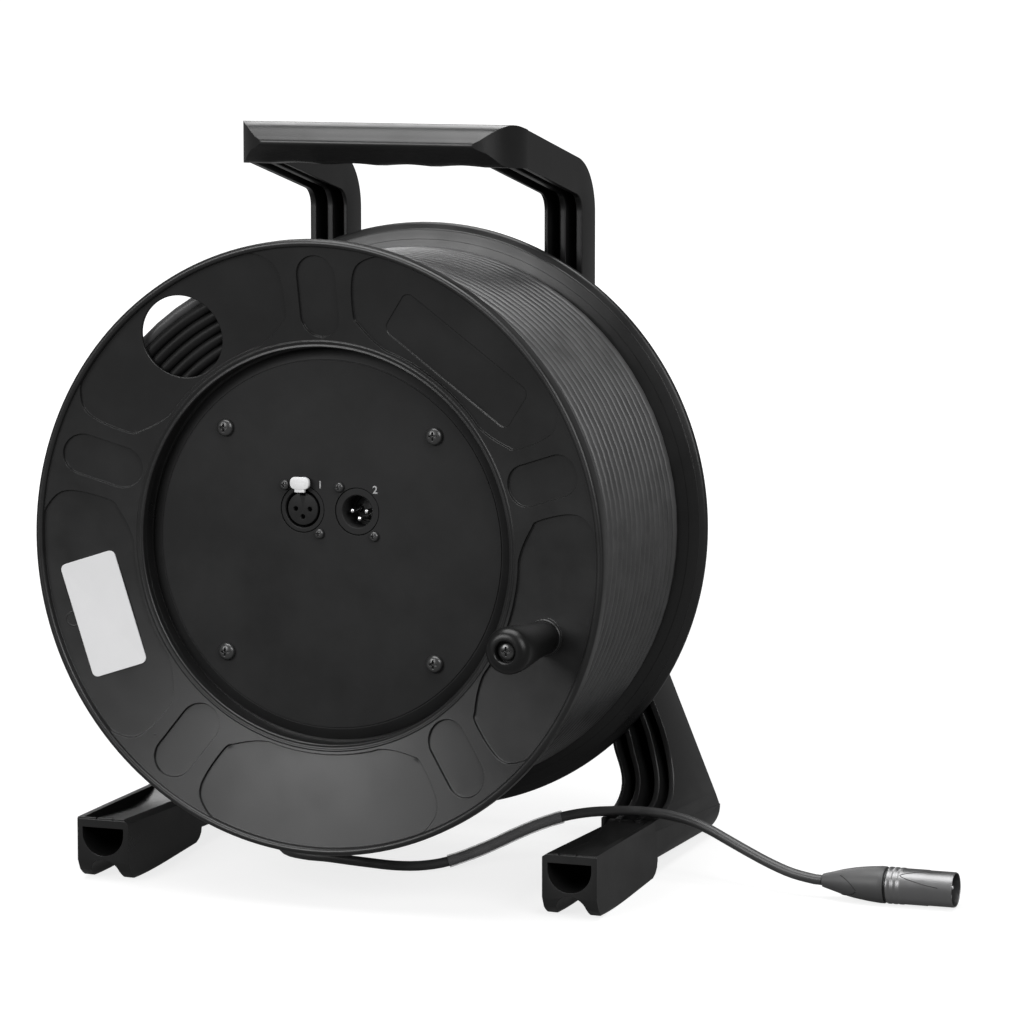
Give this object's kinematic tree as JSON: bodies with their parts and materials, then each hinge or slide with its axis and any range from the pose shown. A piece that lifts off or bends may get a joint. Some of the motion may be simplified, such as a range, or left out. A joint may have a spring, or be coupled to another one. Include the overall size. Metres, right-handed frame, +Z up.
{
  "type": "cable reel",
  "caption": "Black plastic drum of lighting control cable on a leaning carry frame, with a crank knob, a recessed connector panel and a free cable end with a plug.",
  "frame": {"origin": "on the floor under the middle of the reel without its free cable and plug", "axes": "+Z up, +Y to the back, +X to the right as seen from the panel's side; the drum's axis leans 5.166 degrees down to the back"},
  "size_m": [0.4634, 0.2547, 0.3848],
  "materials": {
    "black_plastic": "fine-grained moulded black",
    "blackened_steel": "blackened",
    "boot_plastic": "dark grey",
    "bush_plastic": "natural",
    "cable_jacket": "satin black PVC",
    "connector_black": "satin black",
    "label_white": "white film",
    "plug_metal": "dark satin",
    "silver_contact": "bright",
    "sleeve_film": "translucent grey film",
    "tab_grey": "light grey",
    "zinc_steel": "zinc plated"
  },
  "bodies": {
    "frame": {"axle": "zinc_steel", "axle_nut": "zinc_steel", "axle_screw_1": "zinc_steel", "axle_screw_2": "zinc_steel", "axle_screw_3": "zinc_steel", "axle_washer": "zinc_steel", "cable_sleeve": "sleeve_film", "cable_tail": "cable_jacket", "handle_frame": "black_plastic", "left_leg": "black_plastic", "plate_screw_1": "zinc_steel", "plate_screw_2": "zinc_steel", "plate_screw_3": "zinc_steel", "plate_screw_4": "zinc_steel", "plate_screw_5": "zinc_steel", "plate_screw_6": "zinc_steel", "plate_screw_7": "zinc_steel", "plate_screw_8": "zinc_steel", "plug_boot": "boot_plastic", "plug_chuck": "boot_plastic", "plug_insert": "boot_plastic", "plug_pin_1": "silver_contact", "plug_pin_2": "silver_contact", "plug_pin_3": "silver_contact", "plug_shell": "plug_metal", "rear_plate": "blackened_steel", "right_leg": "black_plastic"},
    "drum": {"cable_core": "cable_jacket", "cable_winding": "cable_jacket", "connector_panel": "black_plastic", "drum_barrel": "black_plastic", "female_contact_1": "silver_contact", "female_contact_2": "silver_contact", "female_contact_3": "silver_contact", "female_insert": "connector_black", "female_socket": "connector_black", "front_bush": "bush_plastic", "front_flange": "black_plastic", "inner_lead": "cable_jacket", "knob_bolt": "blackened_steel", "label": "label_white", "male_insert": "connector_black", "male_pin_1": "silver_contact", "male_pin_2": "silver_contact", "male_pin_3": "silver_contact", "male_socket": "connector_black", "panel_screw_1": "blackened_steel", "panel_screw_2": "blackened_steel", "panel_screw_3": "blackened_steel", "panel_screw_4": "blackened_steel", "rear_bush": "bush_plastic", "rear_flange": "black_plastic", "socket_screw_1": "blackened_steel", "socket_screw_2": "blackened_steel", "socket_screw_3": "blackened_steel", "socket_screw_4": "blackened_steel"},
    "knob": {"crank_knob": "black_plastic"},
    "tab": {"push_tab": "tab_grey"}
  },
  "joints": [
    {"name": "drum_spin", "type": "hinge", "parent": "frame", "child": "drum", "pos_m": [0, -0.0786, 0.1837], "axis": [0, 0.9959, -0.09], "continuous": true, "deforming": ["cable_tail"]},
    {"name": "knob_spin", "type": "hinge", "parent": "drum", "child": "knob", "pos_m": [0.1215, -0.08205, 0.14555], "axis": [0, 0.9959, -0.09], "continuous": true},
    {"name": "tab_push", "type": "slide", "parent": "drum", "child": "tab", "axis": [0, 0.9959, -0.09], "range_m": [0, 0.0015], "stiffness_N_per_m": 400}
  ]
}
